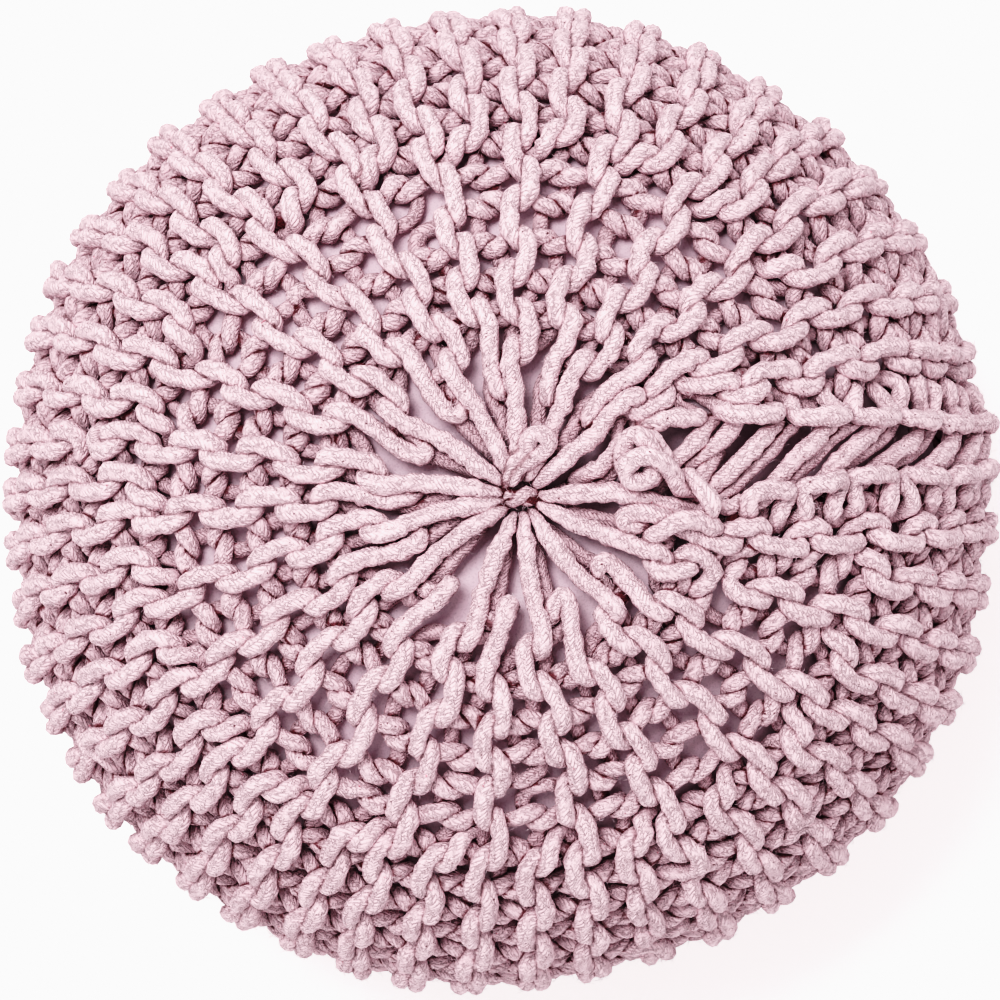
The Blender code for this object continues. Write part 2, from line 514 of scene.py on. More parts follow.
# A spoke: in to the gather under the cover, and out again on top of it.
SPOKE = table(
    "run degrees_aside lift",
    (0.0440, 9.0, -0.0050),
    (0.0300, 9.0, -0.0065),
    (0.0180, 4.0, -0.0110),
    (0.0110, 0.0, -0.0130),
    (0.0088, 0.0, -0.0060),
    (0.0125, 0.0, 0.0005),
    (0.0260, 0.0, 0.0042),
    (0.0480, -0.5, 0.0060),
)

# The start of a medium ridge: in on top of the cover, and down and out again below.
MEDIUM_START = table(
    "run degrees_aside lift",
    (0.0580, 0.0, 0.0080),
    (0.0500, -0.5, 0.0060),
    (0.0465, -2.0, 0.0010),
    (0.0500, -4.0, -0.0030),
    (0.0590, -4.5, -0.0030),
)


LIFT_BELOW = 0.6  # under the pouf the spokes lie flatter


def link(points, start, end, turn, below=False):
    """The points of a table as a smooth way from one row to the other."""
    run, degrees, lift = np.array(points).T
    if below:
        run, lift = SKIN.total - run, lift * LIFT_BELOW
    middle = SKIN.place(run, turn + np.radians(degrees), lift)
    return through(np.vstack([start, middle, end]))[1:-1]


def ridge_cord(i):
    """One ridge as a closed loop of cord: up a row, round the top, down a row, and back."""
    rising = row_of_stitches(i, True)[::-1]
    falling = row_of_stitches(i, False)
    kind = LAYOUT.kinds[i]
    if kind == "long":
        top = link(SPOKE, rising[-1], falling[0], LAYOUT.turn(i, SPOKE_RUN))
        bottom = link(SPOKE, rising[0], falling[-1], LAYOUT.turn(i, SKIN.total), below=True)[::-1]
    else:
        bottom = turned_back(falling, rising, BEND_REACH[kind])
        if kind == "medium":
            top = link(MEDIUM_START, rising[-1], falling[0], LAYOUT.turn(i, FIRST_STITCH))
        else:
            top = turned_back(rising, falling, BEND_REACH[kind])
    return np.vstack([rising, top, falling, bottom])


def evenly_spaced(path, closed):
    if closed:
        path = np.vstack([path, path[:1]])
    run = lengths(path)
    count = max(int(round(run[-1] / STEP)), FEWEST_POINTS)
    at = np.linspace(0.0, run[-1], count, endpoint=not closed)
    return np.column_stack([np.interp(at, run, part) for part in path.T])


def knitted_cords():
    """The ridges, one cord each, shared out evenly over the pieces of knitting."""
    cords = []
    ridges = len(LAYOUT.kinds) - 2
    for i in range(ridges):
        piece = 1 + i * KNIT_PIECES // ridges
        cords.append(Cord(evenly_spaced(ridge_cord(i + 1), True), True, piece, *KNITTED))
    return cords


# One stitch of the lacing, which runs slantwise over the gap between the two chains of
# bars, round the upper one, back beside and below itself, and on under the lower one.
LACE_STITCH = table(
    "run_aside across lift",
    (-0.0570, -0.15, -0.0030),
    (-0.0430, 0.18, 0.0025),
    (-0.0190, 0.65, 0.0060),
    (-0.0020, 1.00, -0.0020),
    (0.0055, 1.25, -0.0040),
    (0.0080, 1.00, -0.0040),
    (-0.0070, 0.65, 0.0000),
    (-0.0310, 0.18, -0.0010),
    (-0.0440, -0.15, -0.0040),
)
LACE_FIRST_BORDER = 0.1040
LACE_PITCH = 0.0322
LACE_COUNT = 13


def lacing():
    """All the stitches of the lacing, as one line of cord."""
    borders = LACE_FIRST_BORDER + LACE_PITCH * np.arange(LACE_COUNT)
    aside, across, lift = np.tile(LACE_STITCH, (LACE_COUNT, 1)).T
    run = np.repeat(borders, len(LACE_STITCH)) + aside
    low = LAYOUT.turn(LOWER, run) - tau
    high = LAYOUT.turn(UPPER, run)
    return through(SKIN.place(run, low + (high - low) * across, lift))


# The cord that draws the spokes together, by run and turn: two strands of it are twisted in
# the middle of them, and a third runs out, wraps round a spoke, and runs back.
DRAWN_TABLES = (
    table(
        "run degrees lift",
        (0.0110, 200.0, -0.0120),
        (0.0085, 185.0, -0.0040),
        (0.0040, 150.0, -0.0005),
        (0.0020, 260.0, -0.0045),
        (0.0060, 345.0, -0.0015),
        (0.0095, 350.0, -0.0110),
    ),
    table(
        "run degrees lift",
        (0.0105, 165.0, -0.0120),
        (0.0075, 195.0, -0.0050),
        (0.0030, 225.0, -0.0010),
        (0.0025, 50.0, -0.0010),
        (0.0070, 10.0, -0.0045),
        (0.0100, 20.0, -0.0120),
    ),
    table(
        "run degrees lift",
        (0.0110, 135.0, -0.0120),
        (0.0085, 122.0, 0.0005),
        (0.0150, 88.0, 0.0060),
        (0.0220, 66.0, 0.0072),
        (0.0285, 61.0, 0.0100),
        (0.0310, 70.0, 0.0130),
        (0.0290, 81.0, 0.0100),
        (0.0225, 82.0, 0.0072),
        (0.0150, 104.0, 0.0050),
        (0.0090, 150.0, -0.0020),
        (0.0110, 165.0, -0.0130),
    ),
)

# The knot where the seam starts, and two small wraps of cord beside it.
KNOT_TABLES = (
    table(
        "run degrees lift",
        (0.0250, 12.5, -0.0080),
        (0.0390, 19.5, 0.0020),
        (0.0500, 25.0, 0.0050),
        (0.0600, 26.0, 0.0020),
        (0.0680, 23.0, 0.0070),
        (0.0700, 15.0, 0.0100),
        (0.0630, 8.5, 0.0060),
        (0.0540, 11.5, 0.0010),
        (0.0520, 20.0, 0.0060),
        (0.0590, 27.0, 0.0130),
        (0.0650, 21.0, 0.0170),
        (0.0640, 11.0, 0.0150),
        (0.0560, 8.0, 0.0110),
        (0.0500, 14.0, 0.0110),
        (0.0540, 18.0, 0.0160),
        (0.0610, 18.0, 0.0190),
        (0.0680, 14.0, 0.0150),
        (0.0740, 7.0, 0.0060),
        (0.0800, 4.5, 0.0000),
        (0.0880, 9.0, -0.0020),
        (0.1010, 14.0, -0.0030),
    ),
    table(
        "run degrees lift",
        (0.0790, 6.5, -0.0060),
        (0.0800, 5.5, 0.0060),
        (0.0830, 2.5, 0.0150),
        (0.0850, -1.0, 0.0150),
        (0.0840, -4.0, 0.0060),
        (0.0820, -5.0, -0.0060),
    ),
    table(
        "run degrees lift",
        (0.0650, -17.5, -0.0060),
        (0.0690, -11.0, 0.0080),
        (0.0790, -6.5, 0.0130),
        (0.0890, -8.5, 0.0100),
        (0.0930, -13.5, -0.0060),
    ),
)


def threaded(tables, piece):
    """Lengths of cord that run from one place to the next in each table."""
    cords = []
    for points in tables:
        run, degrees, lift = np.array(points).T
        path = through(SKIN.place(run, np.radians(degrees), lift))
        cords.append(Cord(evenly_spaced(path, False), False, piece, *SEWN))
    return cords


def seam_cords():
    """The seam: the cast-on row, the cast-off row and the lacing between them."""
    lower = row_of_bars(LOWER, False)
    upper = row_of_bars(UPPER, True)[::-1]
    spoke = link(SPOKE, upper[-1], lower[0], LAYOUT.turn(LOWER, SPOKE_RUN))
    edges = np.vstack([upper, spoke, lower, turned_back(lower, upper, BEND_REACH["edge"])])
    return [
        Cord(evenly_spaced(edges, True), True, SEAM_PIECE, *SEWN),
        Cord(evenly_spaced(lacing(), False), False, SEAM_PIECE, *SEWN),
        *threaded(KNOT_TABLES, SEAM_PIECE),
    ]


# ---- Relaxing --------------------------------------------------------------------------


def neighbours(points, reach, skip=4):
    """Pairs of points nearer than reach that don't follow closely on one cord."""
    cell = np.floor(points / reach).astype(np.int64)
    cell -= cell.min(0) - 1
    span = cell.max(0) + 2
    key = (cell[:, 0] * span[1] + cell[:, 1]) * span[2] + cell[:, 2]
    order = np.argsort(key, kind="stable")
    ranked = key[order]
    first, second = [], []
    for shift in np.ndindex(3, 3, 3):
        x, y, z = np.array(shift) - 1
        step = (x * span[1] + y) * span[2] + z
        if step < 0:
            continue
        low = np.searchsorted(ranked, key + step, "left")
        count = np.searchsorted(ranked, key + step, "right") - low
        i, within = spread_out(count)
        j = order[low[i] + within]
        keep = np.abs(i - j) > skip
        if step == 0:
            keep &= i < j
        i, j = i[keep], j[keep]
        near = ((points[i] - points[j]) ** 2).sum(1) < reach * reach
        first.append(i[near])
        second.append(j[near])
    return np.concatenate(first), np.concatenate(second)


def spread_out(counts):
    """For counts of things in groups: the group of each thing, and its place in the group."""
    group = np.repeat(np.arange(len(counts)), counts)
    within = np.arange(counts.sum()) - np.repeat(np.cumsum(counts) - counts, counts)
    return group, within


class Relaxer:
    """Pulls cords taut and pushes strands apart, point by point.

    Each round smooths the bends, parts points of cord that are nearer than a diameter,
    restores the spacing along each cord, and keeps the cords outside the casing. The cord
    thickens over the first half of the rounds, which leaves the strands time to part.
    """

    BEND = 0.22
    CONTACT = 1.2
    NEAREST_TO_CASING = -0.0060
    LOWEST = 0.0057  # so that no cord sinks into the floor
    LOOK_AGAIN = 12  # rounds between two searches for neighbours
    LOOK_REACH = 1.45  # how far each search looks, in thicknesses
    THIN, THICKENING = 0.6, 0.8  # thickness at first, and how much comes with the rounds

    def __init__(self, cords):
        self.cords = cords
        self.points = uneven(np.concatenate([cord.points for cord in cords]))
        self.home = self.points.copy()
        after, at = [], 0
        for cord in cords:
            count = len(cord.points)
            following = np.arange(at + 1, at + count + 1)
            following[-1] = at if cord.closed else -1
            after.append(following)
            at += count
        self.after = np.concatenate(after)
        self.segment = np.flatnonzero(self.after >= 0)
        steps = self.home[self.after[self.segment]] - self.home[self.segment]
        self.rest = np.linalg.norm(steps, axis=1)
        counts = [len(cord.points) for cord in cords]
        self.rest *= np.repeat([cord.kept for cord in cords], counts)[self.segment]
        self.anchor = np.repeat([cord.anchor for cord in cords], counts)[:, None]
        self.inward = np.repeat([cord.inward for cord in cords], counts)
        before = np.full(len(self.points), -1)
        before[self.after[self.segment]] = self.segment
        self.inner = np.flatnonzero((before >= 0) & (self.after >= 0))
        self.inner_before, self.inner_after = before[self.inner], self.after[self.inner]
        self.halves = [np.flatnonzero(self.segment % 2 == k) for k in (0, 1)]

    def gathered(self, index, vectors):
        count = len(self.points)
        return np.column_stack([np.bincount(index, part, count) for part in vectors.T])

    def smooth_bends(self):
        points, inner = self.points, self.inner
        pull = (points[self.inner_before] + points[self.inner_after]) / 2 - points[inner]
        move = np.zeros_like(points)
        move[inner] += pull * self.BEND
        move -= self.gathered(self.inner_before, pull) * self.BEND / 2
        move -= self.gathered(self.inner_after, pull) * self.BEND / 2
        self.points = points + move

    def part_strands(self, pairs, thickness):
        i, j = pairs
        away = self.points[i] - self.points[j]
        distance = np.linalg.norm(away, axis=1) + TINY
        hit = distance < thickness
        i, j, away, distance = i[hit], j[hit], away[hit], distance[hit]
        push = away * ((thickness - distance) / distance / 2)[:, None]
        count = np.bincount(np.r_[i, j], minlength=len(self.points))
        move = self.gathered(i, push) - self.gathered(j, push)
        self.points = self.points + move / np.maximum(count, 1)[:, None] * self.CONTACT

    def keep_lengths(self):
        for half in self.halves * 2:
            i = self.segment[half]
            j = self.after[i]
            away = self.points[j] - self.points[i]
            length = np.linalg.norm(away, axis=1) + TINY
            change = away * ((length - self.rest[half]) / length / 2)[:, None]
            self.points[i] += change
            self.points[j] -= change

    def keep_on_casing(self):
        lift, outward = FIELD.at(self.points)
        wanted = np.maximum(lift - self.inward, self.NEAREST_TO_CASING)
        self.points = self.points + outward * (wanted - lift)[:, None]
        drift = self.home - self.points
        drift -= outward * (drift * outward).sum(1)[:, None]
        self.points += drift * self.anchor
        self.points[:, 2] = np.maximum(self.points[:, 2], self.LOWEST)

    def relaxed(self, rounds, thickness):
        held = np.hypot(self.home[:, 0], self.home[:, 1]) < HELD_RADIUS
        for turn in range(rounds):
            if turn % self.LOOK_AGAIN == 0:
                pairs = neighbours(self.points, thickness * self.LOOK_REACH)
            self.smooth_bends()
            grown = min(self.THIN + self.THICKENING * turn / rounds, 1.0)
            self.part_strands(pairs, thickness * grown)
            self.keep_lengths()
            self.keep_on_casing()
            self.points[held] = self.home[held]
        result, at = [], 0
        for cord in self.cords:
            result.append(cord._replace(points=self.points[at : at + len(cord.points)]))
            at += len(cord.points)
        return result


# ---- From the round skin to the real one -----------------------------------------------


GATHER_FADE = Fade(0.0, 0.060)  # above the widest level


def shaped(points):
    """Moves points on the round pouf to the pouf's uneven outline and off-centre gather."""
    radius = np.hypot(points[:, 0], points[:, 1])
    turn = np.arctan2(points[:, 1], points[:, 0])
    swell = 0.0
    for wave in OUTLINE_WAVES:
        swell = swell + wave.height * np.cos(wave.count * (turn - radians(wave.crest_degrees)))
    share = np.minimum(radius / RADIUS, 1.0)
    above = faded(points[:, 2] - WIDEST_LEVEL, GATHER_FADE)
    result = points.copy()
    result[:, :2] *= (1.0 + swell / RADIUS * share**2)[:, None]
    result[:, :2] += GATHER_PLACE * ((1.0 - share) * above)[:, None]
    return result


# ---- Meshes ----------------------------------------------------------------------------


def placed(name, data, place=(0.0, 0.0, 0.0)):
    made = bpy.data.objects.new(name, data)
    made.location = place
    bpy.context.scene.collection.objects.link(made)
    return made


def mesh_object(name, points, faces, material, uv=None):
    """A smooth shaded object, whose faces all have the same number of corners."""
    data = bpy.data.meshes.new(name)
    data.vertices.add(len(points))
    data.vertices.foreach_set("co", points.astype(np.float32).ravel())
    data.loops.add(faces.size)
    data.loops.foreach_set("vertex_index", faces.astype(np.int32).ravel())
    data.polygons.add(len(faces))
    starts = np.arange(0, faces.size, faces.shape[1], dtype=np.int32)
    data.polygons.foreach_set("loop_start", starts)
    data.update(calc_edges=True)
    if uv is not None:
        layer = data.uv_layers.new(name="cord")
        layer.data.foreach_set("uv", uv.astype(np.float32).ravel())
    data.shade_smooth()
    data.materials.append(material)
    return placed(name, data)


def finer(points, closed, times):
    """More points along a cord, on a smooth line through those it has."""
    if closed:
        whole = np.vstack([points[-1:], points, points[:2]])
    else:
        whole = np.vstack([2 * points[:1] - points[1:2], points, 2 * points[-1:] - points[-2:-1]])
    a, b, c, d = whole[:-3], whole[1:-2], whole[2:-1], whole[3:]
    parts = [between(a, b, c, d, t) for t in np.arange(times) / times]
    line = np.stack(parts, 1).reshape(-1, 3)
    return line if closed else np.vstack([line, points[-1:]])


def cord_frames(points, closed):
    """Two directions square to the cord at each point, without twist along it."""
    if closed:
        way = np.roll(points, -1, 0) - np.roll(points, 1, 0)
    else:
        way = np.gradient(points, axis=0)
    way = unit(way)
    side = np.cross(way[0], (0.0, 0.0, 1.0) if abs(way[0, 2]) < 0.9 else (1.0, 0.0, 0.0))
    side /= np.linalg.norm(side)
    sides = []
    for direction in way:
        side = side - direction * side.dot(direction)
        side /= np.sqrt(side.dot(side))
        sides.append(side)
    u = np.array(sides)
    v = np.cross(way, u)
    if closed:
        last = u[-1] - way[0] * u[-1].dot(way[0])
        error = np.arctan2(last.dot(v[0]), last.dot(u[0]))
        back = -error * np.linspace(0.0, 1.0, len(points))[:, None]
        u, v = u * np.cos(back) + v * np.sin(back), v * np.cos(back) - u * np.sin(back)
    return u, v


def lumps(count, sides, closed):
    """Uneven thickness: smooth noise over the skin of a cord."""
    rng = np.random.default_rng(SEED + count)
    noise = rng.normal(0.0, 1.0, (count, sides))
    reach = max(int(LUMP_LENGTH * FINER / STEP), 1)
    window = np.hanning(reach + 2)[1:-1]
    window /= np.sqrt((window**2).sum())
    ends = "wrap" if closed else "edge"
    wide = np.pad(noise, ((reach, reach), (0, 0)), mode=ends)
    even = np.column_stack([np.convolve(part, window, "same")[reach:-reach] for part in wide.T])
    even = (np.roll(even, 1, 1) + LUMP_OWN * even + np.roll(even, -1, 1)) / 2.0
    return LUMP_HEIGHT * even


def grid_faces(rows, columns, closed):
    """Faces between rows of points that run round, joined into a ring if closed."""
    i = np.arange(rows if closed else rows - 1)[:, None]
    j = np.arange(columns)[None]
    next_j = (j + 1) % columns
    here, beyond = i * columns, (i + 1) % rows * columns
    corners = (here + j, here + next_j, beyond + next_j, beyond + j)
    return np.stack(np.broadcast_arrays(*corners), -1).reshape(-1, 4)


def end_cap(sides):
    """Four-sided faces that close a ring with an even number of corners."""
    rows = range(sides // 2 - 1)
    return np.array([(-k % sides, k + 1, k + 2, (-k - 1) % sides) for k in rows])


def tube(points, radius, sides, closed):
    """Points, faces and UVs of a cord. U is metres along it, V once round it."""
    u, v = cord_frames(points, closed)
    angles = np.linspace(0.0, tau, sides, endpoint=False)[None, :, None]
    radius = radius[:, None, None] + lumps(len(points), sides, closed)[:, :, None]
    rings = points[:, None] + radius * (np.cos(angles) * u[:, None] + np.sin(angles) * v[:, None])
    count = len(points)
    faces = grid_faces(count, sides, closed)
    along = lengths(np.vstack([points, points[:1]]))
    row, column = np.divmod(np.arange(len(faces)), sides)
    rows = row[:, None] + (0, 0, 1, 1)
    columns = column[:, None] + (0, 1, 1, 0)
    if not closed:
        ends = np.vstack([end_cap(sides)[:, ::-1], end_cap(sides) + (count - 1) * sides])
        faces = np.vstack([faces, ends])
        rows = np.vstack([rows, ends // sides])
        columns = np.vstack([columns, ends % sides])
    uv = np.stack([along[rows], columns / sides], -1).reshape(-1, 2)
    return rings.reshape(-1, 3), faces, uv


CASING_RINGS, CASING_COLUMNS = 120, 160
CASING_HOLE = 0.002  # closed by flat faces, at the top and underneath
CASING_DIMPLE = 0.0100
GROOVE_DEPTH = 0.0110  # of the casing under the seam
GROOVE_HALF = 0.0160
GROOVE_FADE = Fade(0.0, 0.050)
SIDES = 10
FINER = 2
PLAIN_LEVEL = 0.085  # cord lower than this is out of sight and has half as many rings
PLAIN_DEPTH = 0.45  # and so is cord that lies deeper in the knitting than this
SHALLOW_LIFT = 0.0035  # cord further out than this lies on top: no thinning for depth and no painted shade
DEEP_RANGE = 0.0090  # and cord this much further in is as deep as it gets: thinnest, and darkest with painted shade
DEEP_THINNING = 0.14
PULLED_THIN = 0.72  # of its thickness, at the gather
PULLED_FADE = Fade(0.009, 0.014)
SLACK = 1.06  # of its thickness, away from the gather
CREASE_SHADE_RANGE = 0.0022  # skin nearer than this to another strand is in a crease, where a shadow is painted
LUMP_LENGTH = 0.0055  # the cord swells and shrinks over about this length
LUMP_HEIGHT = 0.00042
LUMP_OWN = 1.5  # weight of a point's own noise, against 1 for those beside it


def cord_radius(points, deep):
    """Thinner where the cord is pulled tight: deep in the knitting and at the gather."""
    reach = np.hypot(points[:, 0] - GATHER_PLACE[0], points[:, 1] - GATHER_PLACE[1])
    pulled = PULLED_THIN + (SLACK - PULLED_THIN) * faded(reach, PULLED_FADE)
    pulled = np.where(points[:, 2] > WIDEST_LEVEL, pulled, SLACK)
    return CORD_DIAMETER / 2 * pulled * (1.0 - DEEP_THINNING * deep)


class Crowd:
    """All the strands of cord, to find how near they lie to a point on a cord's skin."""

    REACH = 3 * STEP  # strands with their middles further apart don't touch
    SKIP = 3

    def __init__(self, cords):
        starts, ways, deeps = [], [], []
        for cord in cords:
            points = shaped(cord.points)
            ends = np.roll(points, -1, 0)
            if not cord.closed:
                ends[-1] = points[-1]
            starts.append(points)
            ways.append(ends - points)
            deeps.append(depth(cord.points))
        self.starts, self.ways = np.vstack(starts), np.vstack(ways)
        self.radii = cord_radius(self.starts, np.concatenate(deeps))
        i, j = neighbours(self.starts, self.REACH, self.SKIP)
        one, other = np.r_[i, j], np.r_[j, i]
        order = np.argsort(one, kind="stable")
        self.others = other[order]
        self.counts = np.bincount(one, minlength=len(self.starts))
        self.firsts = np.cumsum(self.counts) - self.counts

    def gaps(self, rings, index):
        """Distance from each point of some rings of skin to the nearest other strand."""
        ring, within = spread_out(self.counts[index])
        other = self.others[self.firsts[index][ring] + within]
        away = rings[ring] - self.starts[other][:, None]
        way = self.ways[other][:, None]
        share = (away * way).sum(-1) / np.maximum((way * way).sum(-1), TINY)
        away -= way * np.clip(share, 0.0, 1.0)[..., None]
        gap = np.linalg.norm(away, axis=-1) - self.radii[other][:, None]
        nearest = np.ones(rings.shape[:2])
        crowded = np.unique(ring)
        nearest[crowded] = np.minimum.reduceat(gap, np.flatnonzero(within == 0), axis=0)
        return nearest


def depth(points):
    """0 where a cord lies on top of the knitting, up to 1 where it lies deep in it."""
    return soft((SHALLOW_LIFT - FIELD.at(points)[0]) / DEEP_RANGE)


def in_detail(points):
    """Which points of a cord to keep: all in sight, and every second one low down or deep."""
    in_sight = (points[:, 2] > PLAIN_LEVEL) & (depth(points) < PLAIN_DEPTH)
    return in_sight | (np.arange(len(points)) % 2 == 0)


def cord_object(name, cords, crowd, first, material):
    """Tubes of cord in one mesh. First is the place in the crowd of the first cord."""
    points, faces, uvs, depths, crease_shades, at = [], [], [], [], [], 0
    for cord in cords:
        line = finer(cord.points, cord.closed, FINER)
        kept = np.flatnonzero(in_detail(line))
        deep = depth(line[kept])
        line = shaped(line[kept])
        some, quads, uv = tube(line, cord_radius(line, deep), SIDES, cord.closed)
        # Skin where another strand lies close is marked for a painted shadow.
        gaps = crowd.gaps(some.reshape(-1, SIDES, 3), first + kept // FINER)
        crease_shades.append(soft(1.0 - gaps.ravel() / CREASE_SHADE_RANGE))
        depths.append(np.repeat(deep, SIDES))
        points.append(some)
        faces.append(quads + at)
        uvs.append(uv)
        at += len(some)
        first += len(cord.points)
    made = mesh_object(name, np.vstack(points), np.vstack(faces), material, np.vstack(uvs))
    # These attributes mark painted shade in the cord's colour: on deep cord, and in creases where
    # strands touch.
    for attribute, values in (("deep", depths), ("crease_shade", crease_shades)):
        layer = made.data.attributes.new(attribute, "FLOAT", "POINT")
        layer.data.foreach_set("value", np.concatenate(values).astype(np.float32))
    return made


FIBRE_COUNT = 26000
FIBRE_LENGTHS = (0.0020, 0.0055)
FIBRE_WIDTH = 0.00020
FIBRE_RISE = 0.45  # how steeply a fibre stands up from the cord
FIBRE_TIP_RISE = 0.225  # and its second half
FIBRE_SPREAD = 0.9  # how far round from the top of the cord fibres start
FIBRE_CURL = 0.5


# A fibre's points are its root, the three of its waist, and its tip.
SPINDLE_FACES = ((0, 1, 2), (0, 2, 3), (0, 3, 1), (4, 2, 1), (4, 3, 2), (4, 1, 3))


def fibre_object(cords, material):
    """Stray fibres that stand off the cords: bent spindles, each a closed body."""
    rng = np.random.default_rng(SEED)
    starts = np.vstack([shaped(cord.points) for cord in cords])
    ways = np.vstack([unit(np.gradient(shaped(cord.points), axis=0)) for cord in cords])
    in_sight = np.flatnonzero(starts[:, 2] > PLAIN_LEVEL)
    chosen = rng.choice(in_sight, FIBRE_COUNT)
    along = ways[chosen]
    outward = FIELD.at(starts[chosen])[1]
    spread = unit(outward + FIBRE_SPREAD * unit(rng.normal(size=along.shape)))
    out = unit(spread - along * (spread * along).sum(1)[:, None])
    around = np.cross(along, out)
    heading = rng.uniform(0.0, tau, FIBRE_COUNT)[:, None]
    flat = along * np.cos(heading) + around * np.sin(heading)
    length = rng.uniform(*FIBRE_LENGTHS, FIBRE_COUNT)[:, None]
    root = starts[chosen] + along * rng.uniform(-0.5, 0.5, length.shape) * STEP
    root += out * CORD_DIAMETER / 2
    curl = unit(rng.normal(size=along.shape)) * FIBRE_CURL
    middle = root + unit(flat + out * FIBRE_RISE) * length / 2
    tip = middle + unit(flat + out * FIBRE_TIP_RISE + curl) * length / 2
    aside = unit(np.cross(flat, out))
    upward = unit(np.cross(aside, flat))
    turns = (0.0, tau / 3, 2 * tau / 3)
    spokes = [(aside * np.cos(t) + upward * np.sin(t)) * FIBRE_WIDTH / 2 for t in turns]
    points = np.stack([root, *(middle + spoke for spoke in spokes), tip], 1)
    first = np.arange(FIBRE_COUNT)[:, None, None] * points.shape[1]
    faces = (first + np.array(SPINDLE_FACES)).reshape(-1, 3)
    return mesh_object("stray_fibres", points.reshape(-1, 3), faces, material)


def casing_object(material):
    """The filled casing inside the cover."""
    inside = Skin(COVER_THICKNESS + GAP)
    runs = np.linspace(CASING_HOLE, inside.total - CASING_HOLE, CASING_RINGS)
    turns = np.linspace(0.0, tau, CASING_COLUMNS, endpoint=False)
    run, turn = (part.ravel() for part in np.meshgrid(runs, turns, indexing="ij"))
    sunk = CASING_DIMPLE * np.exp(-((run / DIMPLE_RADIUS) ** 2))
    aside = (turn - radians(SEAM_MIDDLE) + pi) % tau - pi
    aside *= inside.radius_at(run)
    groove = GROOVE_DEPTH * np.exp(-((aside / GROOVE_HALF) ** 2))
    sunk += groove * faded(run, GROOVE_FADE)
    points = shaped(inside.place(run, turn, -sunk))
    faces = grid_faces(CASING_RINGS, CASING_COLUMNS, False)[:, (0, 3, 2, 1)]
    cap = end_cap(CASING_COLUMNS)
    ends = np.vstack([cap, cap[:, ::-1] + len(points) - CASING_COLUMNS])
    return mesh_object("casing_cloth", points, np.vstack([faces, ends]), material)


# ---- Materials -------------------------------------------------------------------------


def opaque(colour):
    return (*colour, 1.0) if isinstance(colour, tuple) else colour


class Value:
    """A number in a material. Arithmetic with it adds the nodes that it takes."""

    def __init__(self, shader, socket):
        self.shader, self.socket = shader, socket

    def math(self, operation, other=0.0):
        made = self.shader.node("ShaderNodeMath", {0: self, 1: other}, operation=operation)
        return Value(self.shader, made.outputs[0])

    __add__ = partialmethod(math, "ADD")
    __sub__ = partialmethod(math, "SUBTRACT")
    __mul__ = partialmethod(math, "MULTIPLY")
    __truediv__ = partialmethod(math, "DIVIDE")
    __pow__ = partialmethod(math, "POWER")
    __abs__ = partialmethod(math, "ABSOLUTE")
    at_least = partialmethod(math, "MAXIMUM")

    def zigzag(self):
        """0 up to a half and down again, once in each whole number."""
        return self.math("PINGPONG", 0.5)

    def ramp(self, low, high, least, most):
        """The range from low to high, spread smoothly over the range from least to most."""
        inputs = {"Value": self, "From Min": low, "From Max": high}
        inputs |= {"To Min": least, "To Max": most}
        made = self.shader.node("ShaderNodeMapRange", inputs, interpolation_type="SMOOTHSTEP")
        return Value(self.shader, made.outputs["Result"])


# Patches of noise: how large its grains are in metres and how fine its detail, the range of
# the noise that the patches' borders take up, and how strong they are at least and at most.
# A ramp is the same for any number.
Patches = namedtuple("Patches", "grain detail low high least most")
Ramp = namedtuple("Ramp", "low high least most")


class Shader:
    """A material and its nodes."""

    SPECULAR = 0.12
    SHEEN_ROUGHNESS = 0.6
    USUAL_DETAIL = 2.0

    def __init__(self, name, roughness, sheen=0.0):
        self.material = bpy.data.materials.new(name)
        self.material.use_nodes = True
        self.tree = self.material.node_tree
        self.surface = self.tree.nodes["Principled BSDF"]
        self.surface.inputs["Roughness"].default_value = roughness
        self.surface.inputs["Specular IOR Level"].default_value = self.SPECULAR
        self.surface.inputs["Sheen Weight"].default_value = sheen
        self.surface.inputs["Sheen Roughness"].default_value = self.SHEEN_ROUGHNESS
        self.place = self.stretched((1.0, 1.0, 1.0))

    def node(self, kind, inputs, **settings):
        made = self.tree.nodes.new(kind)
        for name, value in settings.items():
            setattr(made, name, value)
        for key, value in inputs.items():
            value = value.socket if isinstance(value, Value) else value
            if isinstance(value, bpy.types.NodeSocket):
                self.tree.links.new(value, made.inputs[key])
            else:
                made.inputs[key].default_value = value
        return made

    def stretched(self, scale):
        """The place on the object, in metres, with each axis scaled."""
        coordinates = self.tree.nodes.new("ShaderNodeTexCoord").outputs["Object"]
        return self.node("ShaderNodeMapping", {"Vector": coordinates, "Scale": scale}).outputs[0]

    def noise(self, grain, detail=USUAL_DETAIL, place=None):
        """Noise whose grains are this many metres across."""
        inputs = {"Vector": place or self.place, "Scale": 1.0 / grain, "Detail": detail}
        return Value(self, self.node("ShaderNodeTexNoise", inputs).outputs[0])

    def patches(self, kind):
        """Some Patches, 0 between them."""
        grain, detail, *spread = kind
        return self.noise(grain, detail).ramp(*spread)

    def attribute(self, name):
        made = self.node("ShaderNodeAttribute", {}, attribute_name=name)
        return Value(self, made.outputs["Fac"])

    def mix(self, share, first, second):
        inputs = {"Factor": share, 6: opaque(first), 7: opaque(second)}
        return self.node("ShaderNodeMix", inputs, data_type="RGBA").outputs[2]

    def finish(self, colour, height):
        """Colour, and relief given as height in metres."""
        self.tree.links.new(colour, self.surface.inputs["Base Color"])
        bump = self.node("ShaderNodeBump", {"Height": height, "Distance": 1.0, "Strength": 1.0})
        self.tree.links.new(bump.outputs[0], self.surface.inputs["Normal"])
        return self.material


CORD_COLOUR = (0.90, 0.645, 0.705)
# The next two colours serve the cord's own mottling and pits, and also painted shade.
CORD_SHADE_AND_MOTTLE_COLOUR = (0.49, 0.295, 0.34)
CORD_PIT_AND_SHADE_COLOUR = (0.14, 0.04, 0.05)
SPECK_COLOUR = (0.62, 0.13, 0.20)

